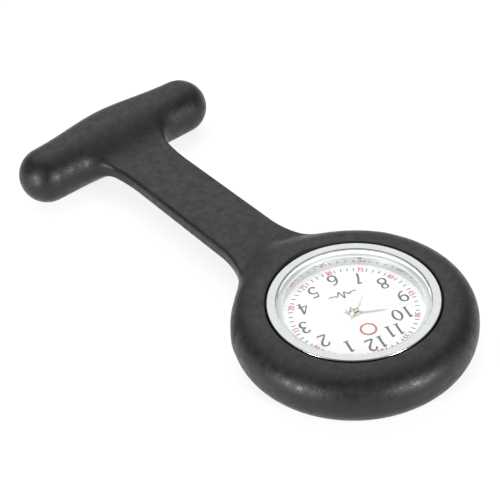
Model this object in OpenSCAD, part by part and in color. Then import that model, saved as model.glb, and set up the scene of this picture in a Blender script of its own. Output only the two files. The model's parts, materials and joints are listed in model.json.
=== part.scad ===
// Fob watch: a quartz watch head in a silicone holder, with a brooch in its cross bar.
// Frame: origin on the dial's axis, in the plane that the holder lies on.
// +Z points out of the dial and +Y points from the watch head to the cross bar. Units: mm.

/* [Holder] */
// Outer radius of the round part that holds the watch head
ring_r = 18.7; // [18.2:0.1:19.6]
// Height of the round part
ring_h = 9.1; // [9.0:0.1:9.6]
// Width of the strap
strap_w = 10.4; // [8:0.1:11]
// Thickness of the strap
strap_t = 2.6; // [2:0.1:3.2]
// Distance from the dial's axis to the cross bar's axis
bar_y = 62.2; // [55:0.1:75]
// Radius of the cross bar
bar_r = 4.7; // [4.7:0.1:5.2]
// Half of the cross bar's length
bar_half = 18.8; // [18:0.1:22]
// How far the middle of the cross bar bulges away from the strap
bar_bulge = 1.7; // [1.0:0.1:2.0]

/* [Watch head] */
// Direction of 3 o'clock and of the crown, from +X towards +Y, in degrees
head_turn = 162.9; // [120:0.1:200]
// Outer radius of the bezel
bezel_r = 13.0; // [12.9:0.05:13.1]
// Height of the bezel's top above the resting plane
bezel_top = 8.9; // [8.9:0.05:9.0]
// Radius of the crystal
crystal_r = 11.53; // [11.4:0.01:11.55]
// Radius of the polished wall between the dial and the crystal
wall_r = 10.7; // [10.5:0.05:10.75]
// Height of the dial's face above the resting plane
dial_top = 6.4; // [6.4:0.01:6.42]

/* [Time shown] */
// Hour that has struck
show_h = 9; // [0:1:11]
// Minutes past the hour
show_min = 36.4; // [0:0.1:59.9]
// Seconds
show_sec = 48.5; // [0:0.5:59.5]

/* [Brooch] */
// Radius of the needle's wire
needle_r = 0.35; // [0.3:0.01:0.38]
// Height of the needle above the resting plane
needle_z = 1.7; // [1.6:0.05:1.8]

/* [Hidden] */
$fn = 96;
eps = 0.01;

// holder
ring_cr = 13.4;                  // where the rounded section starts, just outside the pocket
ring_bend = 0.86;                // exponent of the section's super-ellipse
pocket_r = 13.2;                 // pocket round the bezel
pocket_low_r = 12.0;             // pocket round the case
shelf_z = 6.5;                   // step between the two
lip_r = 10.0;                    // opening in the back
lip_t = 0.9;                     // thickness of the lip that carries the case back
relief_r = 14.4;                 // room for the crown when it is pulled
relief_w = 4.2;
relief_z = 1.7;
strap_z = 4.8;
ring_fillet = 9;
bar_fillet = 4;
bulge_half = 12;
bulge_bend = 40;                 // radius of the bulge's long curve
slot_half = 14.0;                // pocket for the brooch
slot_w = 4.0;
slot_top = 4.6;

// watch case
case_r = 11.75;
case_in = 10.95;
back_z = 0.95;
back_t = 0.6;
neck_z = 7.5;
bezel_low = 6.6;
seat_z = 7.85;

// movement, in its own frame with 12 o'clock at +Y and 3 o'clock at +X
plate_r = 9.7;
plate_z = 4.45;
plate_t = 0.75;
plate_top = plate_z + plate_t;
dial_seat = 6.0;
dial_r = 10.9;
bridge_z = 2.3;
bridge_t = 0.6;
pivot_r = 0.08;
pivot_hole = 0.11;
stem_z = 3.9;
stem_r = 0.45;
battery_r = 3.4;
battery_x = -4.0;
battery_y = -4.67;
coil_turn = 40;                  // direction of the coil's axis
coil_dist = 7.5;
coil_z = 3.45;
coil_r = 0.95;

// wheel train: centre distances and directions from one arbor to the next
m_rotor = 0.07;
m_fifth = 0.095;
m_third = 0.08;
a_rotor = m_rotor * (8 + 48) / 2;
a_fifth = m_fifth * (10 + 50) / 2;
a_third = m_third * (8 + 64) / 2;
m_centre = 2 * a_third / (8 + 60);
m_cannon = 0.1;
a_minute = m_cannon * (12 + 36) / 2;
m_hour = 2 * a_minute / (10 + 40);
a_setting = m_cannon * (36 + 20) / 2;
dir_fifth = -40;
dir_rotor = -30;
dir_third = 120;
dir_minute = 35;
dir_setting = -16.5;
fifth_at = a_fifth * [cos(dir_fifth), sin(dir_fifth)];
rotor_at = fifth_at + a_rotor * [cos(dir_rotor), sin(dir_rotor)];
third_at = a_third * [cos(dir_third), sin(dir_third)];
minute_at = a_minute * [cos(dir_minute), sin(dir_minute)];
setting_at = minute_at + a_setting * [cos(dir_setting), sin(dir_setting)];
bridge_screws = [[-4.6, 4.6], [3.6, 3.4], [0, -4.0]];
coil_screw_x = 4.1;
cover_screws = [[-1.8, 2.2], [2.6, -1.6]];

// keyless works
lever_at = [7.6, 2.0];
yoke_at = [6.55, 2.6];
lever_z = 2.6;
lever_t = 0.2;

minute_turn = -6 * show_min;
second_turn = -6 * show_sec;
hour_turn = -30 * (show_h + show_min / 60);

silicone = [0.16, 0.16, 0.17];
chrome = [0.86, 0.87, 0.89];
steel = [0.72, 0.73, 0.75];
brass = [0.80, 0.66, 0.36];
black = [0.08, 0.08, 0.09];

// Phase of a wheel of n2 teeth that meshes with one of n1 teeth, at phase1, lying in direction dir
function mesh_phase(dir, n1, phase1, n2) = dir + 180 + 180 / n2 - (phase1 - dir) * n1 / n2;

phase_fifth_pinion = mesh_phase(dir_fifth, 50, 0, 10);
phase_rotor = mesh_phase(dir_rotor, 48, 0, 8);
phase_third = mesh_phase(dir_third, 8, 0, 64);
phase_centre = mesh_phase(dir_third + 180, 8, 0, 60);
phase_minute = mesh_phase(dir_minute, 12, 0, 36);
phase_hour = mesh_phase(dir_minute + 180, 10, 0, 40);
phase_setting = mesh_phase(dir_setting, 36, phase_minute, 20);

function signed_pow(v, p) = sign(v) * pow(abs(v), p);

// Outline of one toothed wheel: n teeth of module m, the first one centred on angle phase
function tooth_points(n, m, phase) = [
    for (i = [0 : n - 1], k = [[-0.33, -1.25], [-0.13, 0.85], [0.13, 0.85], [0.33, -1.25]])
        let (a = phase + (i + k[0]) * 360 / n, r = m * (n / 2 + k[1]))
        [r * cos(a), r * sin(a)]];

module turned() {
    rotate([0, 0, head_turn]) children();
}

module tube(r_out, r_in, z0, z1) {
    translate([0, 0, z0]) difference() {
        cylinder(r = r_out, h = z1 - z0);
        translate([0, 0, -1]) cylinder(r = r_in, h = z1 - z0 + 2);
    }
}

module rod(r, z0, z1) {
    translate([0, 0, z0]) cylinder(r = r, h = z1 - z0);
}

module at(p) {
    translate([p[0], p[1], 0]) children();
}

// A toothed wheel with round windows between its spokes
module wheel(n, m, phase, z0, z1, bore) {
    rim = m * n / 2;
    translate([0, 0, z0]) linear_extrude(z1 - z0) difference() {
        polygon(tooth_points(n, m, phase));
        circle(r = bore, $fn = 32);
        if (n > 40)
            for (a = [0 : 72 : 359])
                rotate(a) translate([rim * 0.55, 0]) circle(r = rim * 0.23, $fn = 32);
    }
}

module pinion(n, m, phase, z0, z1, bore) {
    wheel(n, m, phase, z0, z1, bore);
}

// An arbor with a thinner pivot at each end
module arbor(r, z0, z1, low, high) {
    rod(r, z0, z1);
    rod(pivot_r, low, z0 + eps);
    rod(pivot_r, z1 - eps, high);
}

// ---- holder ----

module strap_plan() {
    half = strap_w / 2;
    cy = sqrt(pow(ring_r + ring_fillet, 2) - pow(half + ring_fillet, 2));
    touch = ring_r / (ring_r + ring_fillet);
    translate([-half, 15.5]) square([strap_w, bar_y - 15.5]);
    for (s = [0, 1]) mirror([s, 0]) {
        difference() {
            polygon([[0, 15.5], [(half + ring_fillet) * touch, cy * touch],
                     [half + ring_fillet, cy], [0, cy]]);
            translate([half + ring_fillet, cy]) circle(r = ring_fillet);
        }
        difference() {
            translate([0, bar_y - bar_r - bar_fillet])
                square([half + bar_fillet, bar_fillet + 1]);
            translate([half + bar_fillet, bar_y - bar_r - bar_fillet]) circle(r = bar_fillet);
        }
    }
}

module ring_section() {
    a = ring_r - ring_cr;
    b = ring_h / 2;
    polygon(concat(
        [for (t = [-90 : 6 : 90])
            [ring_cr + a * signed_pow(cos(t), ring_bend), b + b * signed_pow(sin(t), ring_bend)]],
        [[pocket_r, ring_h - 0.2], [pocket_r, shelf_z], [pocket_low_r, shelf_z],
         [pocket_low_r, lip_t], [lip_r, lip_t], [lip_r, 0.25], [lip_r + 0.25, 0]]));
}

module cross_bar() {
    translate([0, bar_y, bar_r]) {
        rotate([0, 90, 0]) cylinder(r = bar_r, h = 2 * (bar_half - bar_r), center = true);
        for (s = [-1, 1]) translate([s * (bar_half - bar_r), 0, 0]) sphere(r = bar_r);
        translate([0, bar_bulge, 0]) rotate([0, 90, 0]) rotate_extrude() intersection() {
            translate([bar_r - bulge_bend, 0]) circle(r = bulge_bend, $fn = 180);
            translate([0, -bulge_half]) square([bar_r, 2 * bulge_half]);
        }
    }
}

module silicone_holder() {
    color(silicone) difference() {
        union() {
            rotate_extrude() ring_section();
            translate([0, 0, strap_z - strap_t / 2]) linear_extrude(strap_t) strap_plan();
            cross_bar();
        }
        turned() translate([11, -relief_w / 2, relief_z])
            cube([relief_r - 11, relief_w, shelf_z - relief_z]);
        translate([-slot_half, bar_y - slot_w / 2, -1]) cube([2 * slot_half, slot_w, slot_top + 1]);
    }
}

// ---- brooch ----

hinge_x = -12.3;
catch_x = 12.5;
base_z = 4.1;
rivet_r = 0.38;

module along_x(x, r, len) {
    translate([x, bar_y, needle_z]) rotate([0, 90, 0]) cylinder(r = r, h = len);
}

module pin_base() {
    color(chrome) {
        translate([-slot_half + 0.1, bar_y - slot_w / 2 + 0.1, base_z])
            cube([2 * slot_half - 0.2, slot_w - 0.2, slot_top - base_z]);
        for (s = [-1, 1]) difference() {
            translate([hinge_x - 0.9, bar_y + s * 0.725 - 0.225, 0.9]) cube([1.8, 0.45, base_z - 0.9 + eps]);
            translate([hinge_x, bar_y, needle_z]) rotate([90, 0, 0])
                cylinder(r = rivet_r, h = 4, center = true);
        }
    }
}

module pin_rivet() {
    color(steel) translate([hinge_x, bar_y, needle_z]) rotate([90, 0, 0]) {
        cylinder(r = rivet_r, h = 1.9, center = true);
        for (s = [-1, 1]) translate([0, 0, s * 1.05]) cylinder(r = 0.6, h = 0.2, center = true);
    }
}

module catch_housing() {
    color(chrome) difference() {
        union() {
            along_x(catch_x - 0.7, 1.15, 1.4);
            translate([catch_x - 0.7, bar_y - 0.8, needle_z]) cube([1.4, 1.6, base_z - needle_z]);
        }
        along_x(catch_x - 1, 0.86, 2);
        translate([catch_x - 1, bar_y - 0.5, -1]) cube([2, 1, needle_z + 1]);
    }
}

module catch_roller() {
    color(steel) difference() {
        union() {
            along_x(catch_x - 0.9, 0.82, 1.8);
            along_x(catch_x - 1.2, 1.0, 0.3);
            translate([catch_x - 1.2, bar_y, needle_z - 0.25]) cube([0.3, 1.5, 0.5]);
        }
        along_x(catch_x - 2, 0.46, 4);
        translate([catch_x - 2, bar_y - 0.46, -1]) cube([4, 0.92, needle_z + 1]);
    }
}

module pin_needle() {
    color(steel) difference() {
        union() {
            translate([hinge_x, bar_y, needle_z]) rotate([90, 0, 0])
                cylinder(r = 0.75, h = 0.8, center = true);
            along_x(hinge_x + 0.5, needle_r, catch_x - 0.6 - hinge_x - 0.5);
            translate([catch_x - 0.6, bar_y, needle_z]) rotate([0, 90, 0])
                cylinder(r1 = needle_r, r2 = 0.06, h = 1.3);
        }
        translate([hinge_x, bar_y, needle_z]) rotate([90, 0, 0])
            cylinder(r = rivet_r + 0.03, h = 2, center = true);
    }
}

// ---- watch case ----

module case_middle() {
    color(steel) difference() {
        tube(case_r, case_in, back_z + back_t, neck_z);
        turned() translate([0, 0, stem_z]) rotate([0, 90, 0]) cylinder(r = 0.8, h = 20);
    }
}

module bezel() {
    edge = 0.4;
    color(chrome) rotate_extrude() difference() {
        union() {
            translate([case_in, bezel_low]) square([bezel_r - edge - case_in, bezel_top - bezel_low]);
            translate([case_in, bezel_low + 0.2])
                square([bezel_r - case_in, bezel_top - edge - bezel_low - 0.2]);
            translate([bezel_r - edge, bezel_top - edge]) circle(r = edge, $fn = 48);
        }
        translate([case_in - 1, bezel_low - 1]) square([case_r + 0.02 - case_in + 1, neck_z - bezel_low + 1]);
        translate([case_in - 1, seat_z]) square([crystal_r + 0.12 - case_in + 1, 2]);
        polygon([[crystal_r, bezel_top - 0.1], [crystal_r + 0.12, bezel_top - 0.1],
                 [crystal_r + 0.24, bezel_top + 0.02], [crystal_r, bezel_top + 0.02]]);
    }
}

module crystal() {
    color([0.8, 0.9, 0.9, 0.3]) {
        rod(crystal_r, seat_z + 0.12, bezel_top - 0.18);
        translate([0, 0, bezel_top - 0.18]) cylinder(r1 = crystal_r, r2 = crystal_r - 0.1, h = 0.1);
    }
}

module crystal_gasket() {
    color("white") {
        tube(crystal_r + 0.1, wall_r + 0.1, seat_z, seat_z + 0.12);
        tube(crystal_r + 0.1, crystal_r, seat_z + 0.12 - eps, bezel_top - 0.3);
    }
}

module rehaut_ring() {
    color(chrome) tube(case_in - 0.02, wall_r, dial_top, seat_z - 0.03);
}

module case_back() {
    color(steel) difference() {
        union() {
            translate([0, 0, back_z]) cylinder(r1 = case_r - 0.3, r2 = case_r - 0.05, h = 0.25);
            rod(case_r - 0.05, back_z + 0.25 - eps, back_z + back_t);
            tube(10.4, 9.9, back_z + back_t - eps, 2.0);
        }
        // notch for the knife that opens it
        rotate([0, 0, head_turn + 200]) translate([case_r - 0.6, -1.2, back_z + 0.3]) cube([2, 2.4, 1]);
        // turned groove round the middle field
        tube(9.2, 9.05, back_z - 1, back_z + 0.08);
    }
}

module case_back_gasket() {
    color(black) tube(case_in - 0.02, 10.42, back_z + back_t, 1.9);
}

module movement_ring() {
    color([0.9, 0.9, 0.88]) difference() {
        tube(case_in - 0.03, plate_r + 0.03, 2.02, dial_seat);
        turned() translate([0, 0, stem_z]) rotate([0, 90, 0]) cylinder(r = 0.9, h = 20);
    }
}

module stem_tube() {
    color(steel) turned() translate([0, 0, stem_z]) rotate([0, 90, 0]) tube(0.8, stem_r + 0.04, 10.6, 12.2);
}

module dial() {
    color("white") turned() {
        tube(dial_r, 0.8, dial_seat, dial_top);
        for (a = [78, 258]) rotate([0, 0, a]) translate([7.6, 0, 0]) rod(0.35, plate_z + 0.2, dial_seat + eps);
    }
}

// ---- fixed parts of the movement ----

module coil_frame() {
    rotate([0, 0, coil_turn - 90]) translate([coil_dist, 0, 0]) rotate([0, 0, 90]) children();
}

module screw_posts() {
    for (p = bridge_screws) at(p) rod(0.55, bridge_z + bridge_t, plate_z + eps);
    coil_frame() for (s = [-1, 1]) translate([s * coil_screw_x, 0, 0]) rod(0.6, coil_z + 0.15, plate_z + eps);
}

module screw_holes() {
    for (p = bridge_screws) at(p) rod(0.31, 1, plate_z + 0.1);
    coil_frame() for (s = [-1, 1]) translate([s * coil_screw_x, 0, 0]) rod(0.31, 1, plate_z + 0.1);
    for (p = cover_screws) at(p) rod(0.21, plate_top - 0.4, 7);
}

module main_plate() {
    color([0.75, 0.72, 0.66]) turned() difference() {
        union() {
            rod(plate_r, plate_z, plate_top);
            tube(plate_r, 8.9, plate_z, dial_seat);
            screw_posts();
            // block that guides the stem
            translate([8.7, -1.1, 3.1]) cube([0.8, 2.2, plate_z - 3.1 + eps]);
            // studs of the minute wheel, the setting wheel and the two levers
            at(minute_at) rod(0.18, plate_top - eps, 5.85);
            at(setting_at) rod(0.2, plate_top - eps, 5.75);
            for (p = [lever_at, yoke_at]) at(p) rod(0.2, lever_z - 0.05, plate_z + eps);
            for (p = cover_screws) at(p) rod(0.45, plate_top - eps, 5.86);
        }
        rod(stem_r + 0.04, 4, 6);
        for (p = [fifth_at, rotor_at, third_at]) at(p) rod(pivot_hole, plate_z - 1, plate_z + 0.35);
        at([battery_x, battery_y]) rod(battery_r + 0.1, plate_z - 1, plate_z + 0.25);
        translate([0, 0, stem_z]) rotate([0, 90, 0]) cylinder(r = stem_r + 0.03, h = 12);
        // window for the sliding pinion
        translate([5.5, -1.6, plate_z - 1]) cube([1.7, 3.2, 3]);
        for (a = [78, 258]) rotate([0, 0, a]) translate([7.6, 0, 0]) rod(0.37, plate_z + 0.1, 7);
        screw_holes();
    }
}

module train_bridge() {
    color([0.75, 0.72, 0.66]) turned() difference() {
        translate([0, 0, bridge_z]) linear_extrude(bridge_t) polygon([
            [-5.4, 4.0], [-5.4, 5.4], [-4.2, 5.6], [0.5, 4.2], [3.2, 4.4], [4.6, 3.8], [4.6, 2.6],
            [3.4, 0.6], [4.9, -2.4], [4.4, -3.7], [0.6, -4.9], [-0.8, -4.4], [-2.4, 0.6], [-3.6, 3.2]]);
        at([battery_x, battery_y]) rod(battery_r + 0.15, 1, 5);
        for (p = [[0, 0], fifth_at, rotor_at, third_at]) at(p) rod(pivot_hole, 1, 5);
        screw_holes();
    }
}

module movement_screws() {
    color(steel) turned() {
        for (p = bridge_screws) at(p) slotted_screw(bridge_z, -1, 0.55, 0.3, 1.6);
        coil_frame() for (s = [-1, 1]) translate([s * coil_screw_x, 0, 0])
            slotted_screw(coil_z - 0.5, -1, 0.55, 0.3, 1.3);
        for (p = cover_screws) at(p) slotted_screw(5.96, 1, 0.35, 0.2, 0.9);
    }
}

// A screw whose head sits on the plane z and points up (side 1) or down (side -1)
module slotted_screw(z, side, head_r, shank_r, length) {
    head_t = side > 0 ? 0.03 : 0.28;
    translate([0, 0, z]) mirror([0, 0, side > 0 ? 0 : 1]) difference() {
        union() {
            cylinder(r = head_r, h = head_t);
            translate([0, 0, -length]) cylinder(r = shank_r, h = length + eps);
        }
        translate([-head_r, -0.06, head_t / 2]) cube([2 * head_r, 0.12, 1]);
    }
}

module battery() {
    color([0.8, 0.81, 0.83]) turned() at([battery_x, battery_y]) {
        rod(battery_r, 2.0, 4.25);
        rod(battery_r - 0.35, 4.25 - eps, 4.55);
    }
}

module battery_clamp() {
    color(steel) turned() difference() {
        translate([battery_x, battery_y, 1.78]) rotate([0, 0, 50]) translate([-3.2, -0.9, 0])
            cube([8.2, 1.8, 0.15]);
        at([battery_x, battery_y]) rod(0.5, 1, 3);
    }
}

module battery_contact() {
    color(brass) turned() translate([battery_x, battery_y, 4.57]) {
        translate([-2.2, -0.4, 0]) cube([4.4, 0.8, 0.1]);
    }
}

module circuit_board() {
    color([0.1, 0.35, 0.2]) turned() difference() {
        intersection() {
            rod(9.3, 2.02, 2.2);
            translate([0, 0, 1]) linear_extrude(3)
                polygon([[-9.5, -1.2], [-9.5, 7.5], [-5, 9], [4.8, 6.2], [4.8, 2.2], [-1.2, -0.6]]);
        }
        at([battery_x, battery_y]) rod(battery_r + 0.2, 1, 5);
        for (p = bridge_screws) at(p) rod(0.65, 1, 5);
        for (p = [[0, 0], third_at]) at(p) rod(0.3, 1, 5);
    }
}

module ic_chip() {
    color(black) turned() translate([-5.4, 0.2, 2.2]) cube([1.8, 1.8, 0.5]);
}

module quartz_can() {
    color(steel) turned() translate([-7.4, -0.9, 3.0]) rotate([-90, 0, 0]) {
        cylinder(r = 0.75, h = 4.6);
        for (s = [-1, 1]) translate([s * 0.3, 0, -0.5]) cylinder(r = 0.08, h = 0.6);
    }
}

module coil_core() {
    color(steel) turned() coil_frame() difference() {
        union() {
            translate([-3.7, -0.45, coil_z - 0.15]) cube([7.4, 0.9, 0.3]);
            for (s = [-1, 1]) translate([s * coil_screw_x, 0, 0]) rod(0.75, coil_z - 0.15, coil_z + 0.15);
        }
        for (s = [-1, 1]) translate([s * coil_screw_x, 0, 0]) rod(0.31, 1, 5);
    }
}

module coil_winding() {
    color([0.72, 0.36, 0.16]) turned() coil_frame() difference() {
        translate([-3.1, 0, coil_z]) rotate([0, 90, 0]) cylinder(r = coil_r, h = 6.2);
        translate([-4, -0.47, coil_z - 0.17]) cube([8, 0.94, 0.34]);
    }
}

module stator() {
    color(steel) turned() difference() {
        coil_frame() translate([0, 0, coil_z - 0.5]) linear_extrude(0.35)
            polygon([[-4.8, -0.6], [-3.3, -0.6], [-3.3, 1.15], [-0.6, 1.7], [2.6, 1.7], [3.3, 1.15],
                     [3.3, -0.6], [4.8, -0.6], [4.8, 0.6], [3.0, 3.7], [-1.0, 3.7], [-4.8, 0.6]]);
        at(rotor_at) rod(0.8, 1, 5);
        coil_frame() for (s = [-1, 1]) translate([s * coil_screw_x, 0, 0]) rod(0.31, 1, 5);
    }
}

module motion_cover() {
    color(steel) turned() difference() {
        translate([0, 0, 5.86]) linear_extrude(0.1)
            polygon([[-2.6, 1.6], [-2.4, 3.0], [1.2, 3.2], [3.6, 2.4], [4.2, -0.4], [3.4, -2.4],
                     [1.8, -2.4], [-1.6, -1.4]]);
        rod(1.2, 5, 7);
        for (p = cover_screws) at(p) rod(0.21, 5, 7);
    }
}

module dial_washer() {
    color(brass) turned() tube(1.1, 0.66, 5.84, 5.97);
}

module reset_lever() {
    color(brass) turned() translate([0, 0, 2.95]) linear_extrude(0.12) polygon([
        [4.2, 4.2], [4.7, 4.2], [4.9, 1.6], [3.4, 0.4], [3.2, 0.6], [4.4, 1.8]]);
}

// ---- crown and keyless works ----

module stem_axis() {
    turned() translate([0, 0, stem_z]) rotate([0, 90, 0]) children();
}

module stem() {
    color(steel) stem_axis() {
        translate([-0.25, -0.25, 4.9]) cube([0.5, 0.5, 2.2]);
        rod(stem_r, 7.1 - eps, 7.4);
        rod(0.25, 7.3, 7.9);
        rod(stem_r, 7.8, 12.75);
    }
}

module crown() {
    color(chrome) stem_axis() difference() {
        union() {
            rod(1.6, 11.97, 12.85);
            translate([0, 0, 12.85 - eps]) cylinder(r1 = 1.6, r2 = 1.4, h = 0.16);
        }
        rod(1.0, 11, 12.35);
        rod(stem_r, 11, 12.76);
        for (a = [0 : 15 : 359]) rotate([0, 0, a]) translate([1.66, 0, 11]) cylinder(r = 0.12, h = 3, $fn = 16);
    }
}

module crown_gasket() {
    color(black) stem_axis() tube(0.99, 0.82, 12.0, 12.18);
}

module sliding_pinion() {
    color(brass) stem_axis() difference() {
        union() {
            translate([0, 0, 6.08]) linear_extrude(0.22) polygon(tooth_points(26, 0.105, 0));
            rod(0.8, 6.29, 6.36);
            rod(0.62, 6.3, 6.8);
            rod(0.8, 6.74, 6.85);
        }
        translate([-0.28, -0.28, 5]) cube([0.56, 0.56, 3]);
    }
}

// A flat lever on a stud, with a pin at the end of its arm that rides in a groove below the stem
module lever(pivot, arm, pin_top) {
    at(pivot) {
        difference() {
            union() {
                rod(0.4, lever_z, lever_z + lever_t);
                translate([-0.15, -arm, lever_z]) cube([0.3, arm - 0.3, lever_t]);
            }
            rod(0.22, 1, 5);
        }
        translate([0, -arm, 0]) rod(0.15, lever_z, pin_top);
    }
}

module setting_lever() {
    color(steel) turned() lever(lever_at, lever_at[1], 3.62);
}

module yoke() {
    color(steel) turned() lever(yoke_at, yoke_at[1], 3.24);
}

module setting_wheel() {
    color(brass) turned() at(setting_at) wheel(20, m_cannon, phase_setting, 5.3, 5.48, 0.23);
}

// ---- hands and wheel train ----

// A pointed hand along +Y with a round boss and an open bore
module hand(tip, tail, width, boss, bore, z, t) {
    widest = 0.22 * tip;
    translate([0, 0, z]) difference() {
        union() {
            linear_extrude(t) polygon([[0, tip], [-width / 2, widest], [0, -tail], [width / 2, widest]]);
            cylinder(r = boss, h = t);
        }
        translate([0, 0, -1]) cylinder(r = bore, h = t + 2);
    }
}

module second_hand() {
    color(chrome) turned() rotate([0, 0, second_turn]) {
        difference() {
            union() {
                translate([-0.09, -3.2, 7.28]) cube([0.18, 12.4, 0.08]);
                rod(0.42, 7.22, 7.44);
            }
            rod(0.09, 7, 7.36);
        }
    }
}

module fourth_wheel() {
    color(brass) turned() {
        wheel(50, m_fifth, 0, 3.15, 3.27, 0.05);
        pinion(8, m_third, 0, 3.26, 3.95, 0.05);
        rod(0.09, 2.95, 7.36);
        rod(pivot_r, 2.45, 2.96);
    }
}

module fifth_wheel() {
    color(brass) turned() at(fifth_at) {
        wheel(48, m_rotor, 0, 3.6, 3.72, 0.05);
        pinion(10, m_fifth, phase_fifth_pinion, 3.05, 3.61, 0.05);
        arbor(0.14, 2.98, 4.38, 2.5, 4.7);
    }
}

module rotor() {
    color([0.3, 0.3, 0.33]) turned() at(rotor_at) {
        rod(0.6, 2.98, 3.42);
        pinion(8, m_rotor, phase_rotor, 3.42 - eps, 3.85, 0.05);
        arbor(0.12, 2.96, 4.38, 2.5, 4.7);
    }
}

module third_wheel() {
    color(brass) turned() at(third_at) {
        wheel(64, m_third, phase_third, 3.64, 3.76, 0.05);
        pinion(8, m_centre, 0, 3.75, 4.3, 0.05);
        arbor(0.14, 2.98, 4.38, 2.5, 4.7);
    }
}

module centre_wheel() {
    color(brass) turned() wheel(60, m_centre, phase_centre, 4.05, 4.17, 0.35);
}

module cannon_pinion() {
    color(steel) turned() difference() {
        union() {
            rod(0.35, 4.02, 7.06);
            pinion(12, m_cannon, 0, 5.28, 5.58, 0.2);
        }
        rod(0.13, 3, 8);
    }
}

module minute_hand() {
    color(chrome) turned() rotate([0, 0, minute_turn]) hand(9.4, 1.6, 0.95, 0.75, 0.35, 6.96, 0.1);
}

module minute_wheel() {
    color(brass) turned() at(minute_at) {
        wheel(36, m_cannon, phase_minute, 5.33, 5.48, 0.2);
        pinion(10, m_hour, 0, 5.47, 5.83, 0.2);
    }
}

module hour_wheel() {
    color(brass) turned() difference() {
        union() {
            wheel(40, m_hour, phase_hour, 5.64, 5.8, 0.39);
            rod(0.6, 5.64, 6.76);
        }
        rod(0.39, 5, 8);
    }
}

module hour_hand() {
    color(chrome) turned() rotate([0, 0, hour_turn]) hand(5.8, 1.5, 1.2, 0.95, 0.6, 6.64, 0.12);
}

silicone_holder();
pin_base();
pin_rivet();
catch_housing();
pin_needle();
catch_roller();
case_middle();
bezel();
crystal();
crystal_gasket();
rehaut_ring();
dial();
case_back();
case_back_gasket();
movement_ring();
stem_tube();
main_plate();
train_bridge();
movement_screws();
battery();
battery_clamp();
battery_contact();
circuit_board();
ic_chip();
quartz_can();
coil_core();
coil_winding();
stator();
motion_cover();
dial_washer();
reset_lever();
stem();
crown();
crown_gasket();
sliding_pinion();
setting_lever();
yoke();
setting_wheel();
second_hand();
fourth_wheel();
fifth_wheel();
rotor();
third_wheel();
centre_wheel();
cannon_pinion();
minute_hand();
minute_wheel();
hour_wheel();
hour_hand();
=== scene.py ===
import json
import math
import bmesh
import bpy
import numpy as np
from mathutils import Matrix, Vector


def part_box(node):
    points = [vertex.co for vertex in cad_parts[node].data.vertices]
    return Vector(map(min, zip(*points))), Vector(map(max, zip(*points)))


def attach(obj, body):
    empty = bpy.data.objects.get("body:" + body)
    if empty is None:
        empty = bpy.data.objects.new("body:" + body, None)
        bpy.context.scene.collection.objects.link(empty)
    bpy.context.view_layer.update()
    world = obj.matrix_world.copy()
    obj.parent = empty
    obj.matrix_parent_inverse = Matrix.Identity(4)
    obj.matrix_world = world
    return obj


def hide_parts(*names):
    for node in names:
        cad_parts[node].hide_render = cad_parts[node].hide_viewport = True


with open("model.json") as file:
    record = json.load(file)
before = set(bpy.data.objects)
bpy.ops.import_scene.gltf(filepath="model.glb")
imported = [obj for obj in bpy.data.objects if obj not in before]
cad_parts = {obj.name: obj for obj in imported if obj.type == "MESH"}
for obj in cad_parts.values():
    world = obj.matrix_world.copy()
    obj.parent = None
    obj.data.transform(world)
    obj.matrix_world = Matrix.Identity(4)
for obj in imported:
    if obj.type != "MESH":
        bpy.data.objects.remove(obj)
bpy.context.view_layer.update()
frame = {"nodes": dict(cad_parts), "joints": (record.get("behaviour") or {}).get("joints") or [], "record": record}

mm = 0.001
record = frame["record"]
pull = next(joint["axis"] for joint in frame["joints"] if joint["name"] == "crown_pull")
headTurn = math.atan2(pull[1], pull[0])  # direction of 3 o'clock and of the crown
print("frame loaded:", len(frame["nodes"]), "nodes")


class Wire:
    # one socket in a material; arithmetic on it adds Math nodes
    def __init__(self, tree, socket=None):
        self.tree = tree
        self.socket = socket

    def add(self, kind, settings=None, values=None, out=0):
        node = self.tree.nodes.new("ShaderNode" + kind)
        for name, value in (settings or {}).items():
            setattr(node, name, value)
        for key, value in (values or {}).items():
            if isinstance(value, Wire):
                self.tree.links.new(value.socket, node.inputs[key])
            else:
                node.inputs[key].default_value = value
        return Wire(self.tree, node.outputs[out])

    def maths(self, operation, *values):
        return self.add("Math", {"operation": operation}, dict(enumerate(values)))

    def __add__(self, other):
        return self.maths("ADD", self, other)

    def __mul__(self, other):
        return self.maths("MULTIPLY", self, other)

    __radd__ = __add__
    __rmul__ = __mul__


def onObject(start, stretch=(1, 1, 1)):
    place = start.add("TexCoord", out="Object")
    return start.add("Mapping", {}, {"Vector": place, "Scale": stretch})


def cloudy(start, place, size, detail, roughness):
    # noise whose features are about size mm wide
    return start.add("TexNoise", {}, {"Vector": place, "Scale": 1 / (size * mm), "Detail": detail,
                                      "Roughness": roughness})


def between(start, value, low, high):
    return start.add("MapRange", {"clamp": True}, {0: value, 1: low, 2: high})


def mixColour(start, mask, first, second):
    return start.add("Mix", {"data_type": "RGBA"}, {0: mask, 6: first, 7: second}, out=2)


def bumpy(start, height, strength, depth):
    return start.add("Bump", {}, {"Height": height, "Strength": strength, "Distance": depth * mm})


def makeLook(name, surface):
    made = bpy.data.materials.new(name)
    made.use_nodes = True
    made.node_tree.nodes.clear()
    start = Wire(made.node_tree)
    end = made.node_tree.nodes.new("ShaderNodeOutputMaterial")
    made.node_tree.links.new(surface(start).socket, end.inputs["Surface"])
    return made


def darker(colour, share):
    return tuple(part * share for part in colour[:3]) + (1,)


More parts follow.
